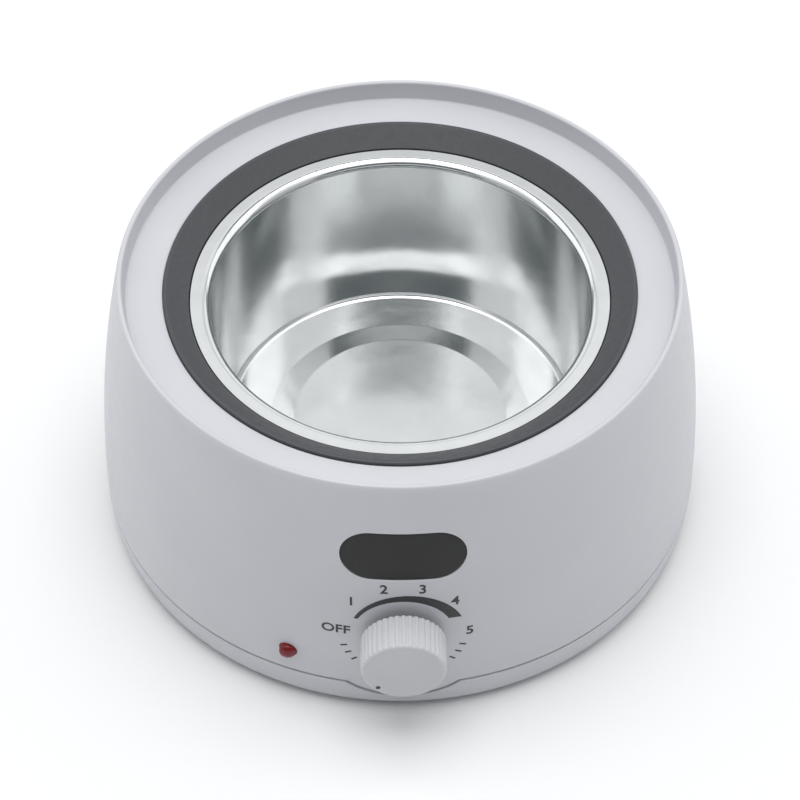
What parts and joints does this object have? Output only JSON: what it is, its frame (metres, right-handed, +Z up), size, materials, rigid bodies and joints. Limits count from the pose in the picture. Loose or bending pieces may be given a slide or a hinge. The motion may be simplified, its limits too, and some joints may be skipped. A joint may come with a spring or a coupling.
{
  "type": "wax warmer pot",
  "caption": "Round countertop wax warmer: rounded white housing, lift-out aluminium pot in a dark insulating ring, fluted dial, smoked display window and a red indicator lamp.",
  "frame": {"origin": "on the pot's axis, in the plane the feet stand on", "axes": "+Z up along the pot's axis, -Y to the front where the dial is, +X to the right seen from the front"},
  "size_m": [0.178, 0.1922, 0.0902],
  "materials": {
    "housing_white": "satin moulded",
    "ring_grey": "matt moulded",
    "pot_aluminium": "bright spun",
    "well_aluminium": "satin pressed",
    "plated_steel": "zinc plated",
    "heater_mica": "pressed mica",
    "foot_rubber": "matt",
    "smoked_window": "smoked",
    "lamp_red": "translucent",
    "pointer_black": "painted",
    "black_plastic": "moulded",
    "contact_brass": "bare",
    "board_green": "solder mask",
    "relay_blue": "moulded",
    "capacitor_yellow": "dipped",
    "terminal_green": "moulded"
  },
  "bodies": {
    "warmer": {"upper_housing": "housing_white", "base_cover": "housing_white", "rubber_feet": "foot_rubber", "base_screws": "plated_steel", "insulating_ring": "ring_grey", "heating_well": "well_aluminium", "heater_disc": "heater_mica", "heater_clamp_plate": "plated_steel", "heater_nut": "plated_steel", "heat_shield": "plated_steel", "shield_screws": "plated_steel", "control_body": "black_plastic", "control_tabs": "contact_brass", "dial_nut": "plated_steel", "display_window": "smoked_window", "display_module": "black_plastic", "display_board": "board_green", "display_screws": "plated_steel", "indicator_lens": "lamp_red", "indicator_cap": "black_plastic", "sensor_pockets": "well_aluminium", "temperature_sensor": "black_plastic", "thermal_fuse": "plated_steel", "power_board": "board_green", "relay": "relay_blue", "capacitor": "capacitor_yellow", "terminal_block": "terminal_green", "board_screws": "plated_steel", "cord_grommet": "foot_rubber"},
    "pot": {"wax_pot": "pot_aluminium"},
    "knob": {"control_knob": "housing_white", "control_shaft": "plated_steel", "knob_pointer": "pointer_black"}
  },
  "joints": [
    {"name": "knob_turn", "type": "hinge", "parent": "warmer", "child": "knob", "pos_m": [0, -0.0955, 0.0346], "axis": [0, 1, 0], "range_deg": [0, 268]},
    {"name": "pot_lift", "type": "slide", "parent": "warmer", "child": "pot", "axis": [0, 0, 1], "range_m": [0, 0.075]}
  ]
}
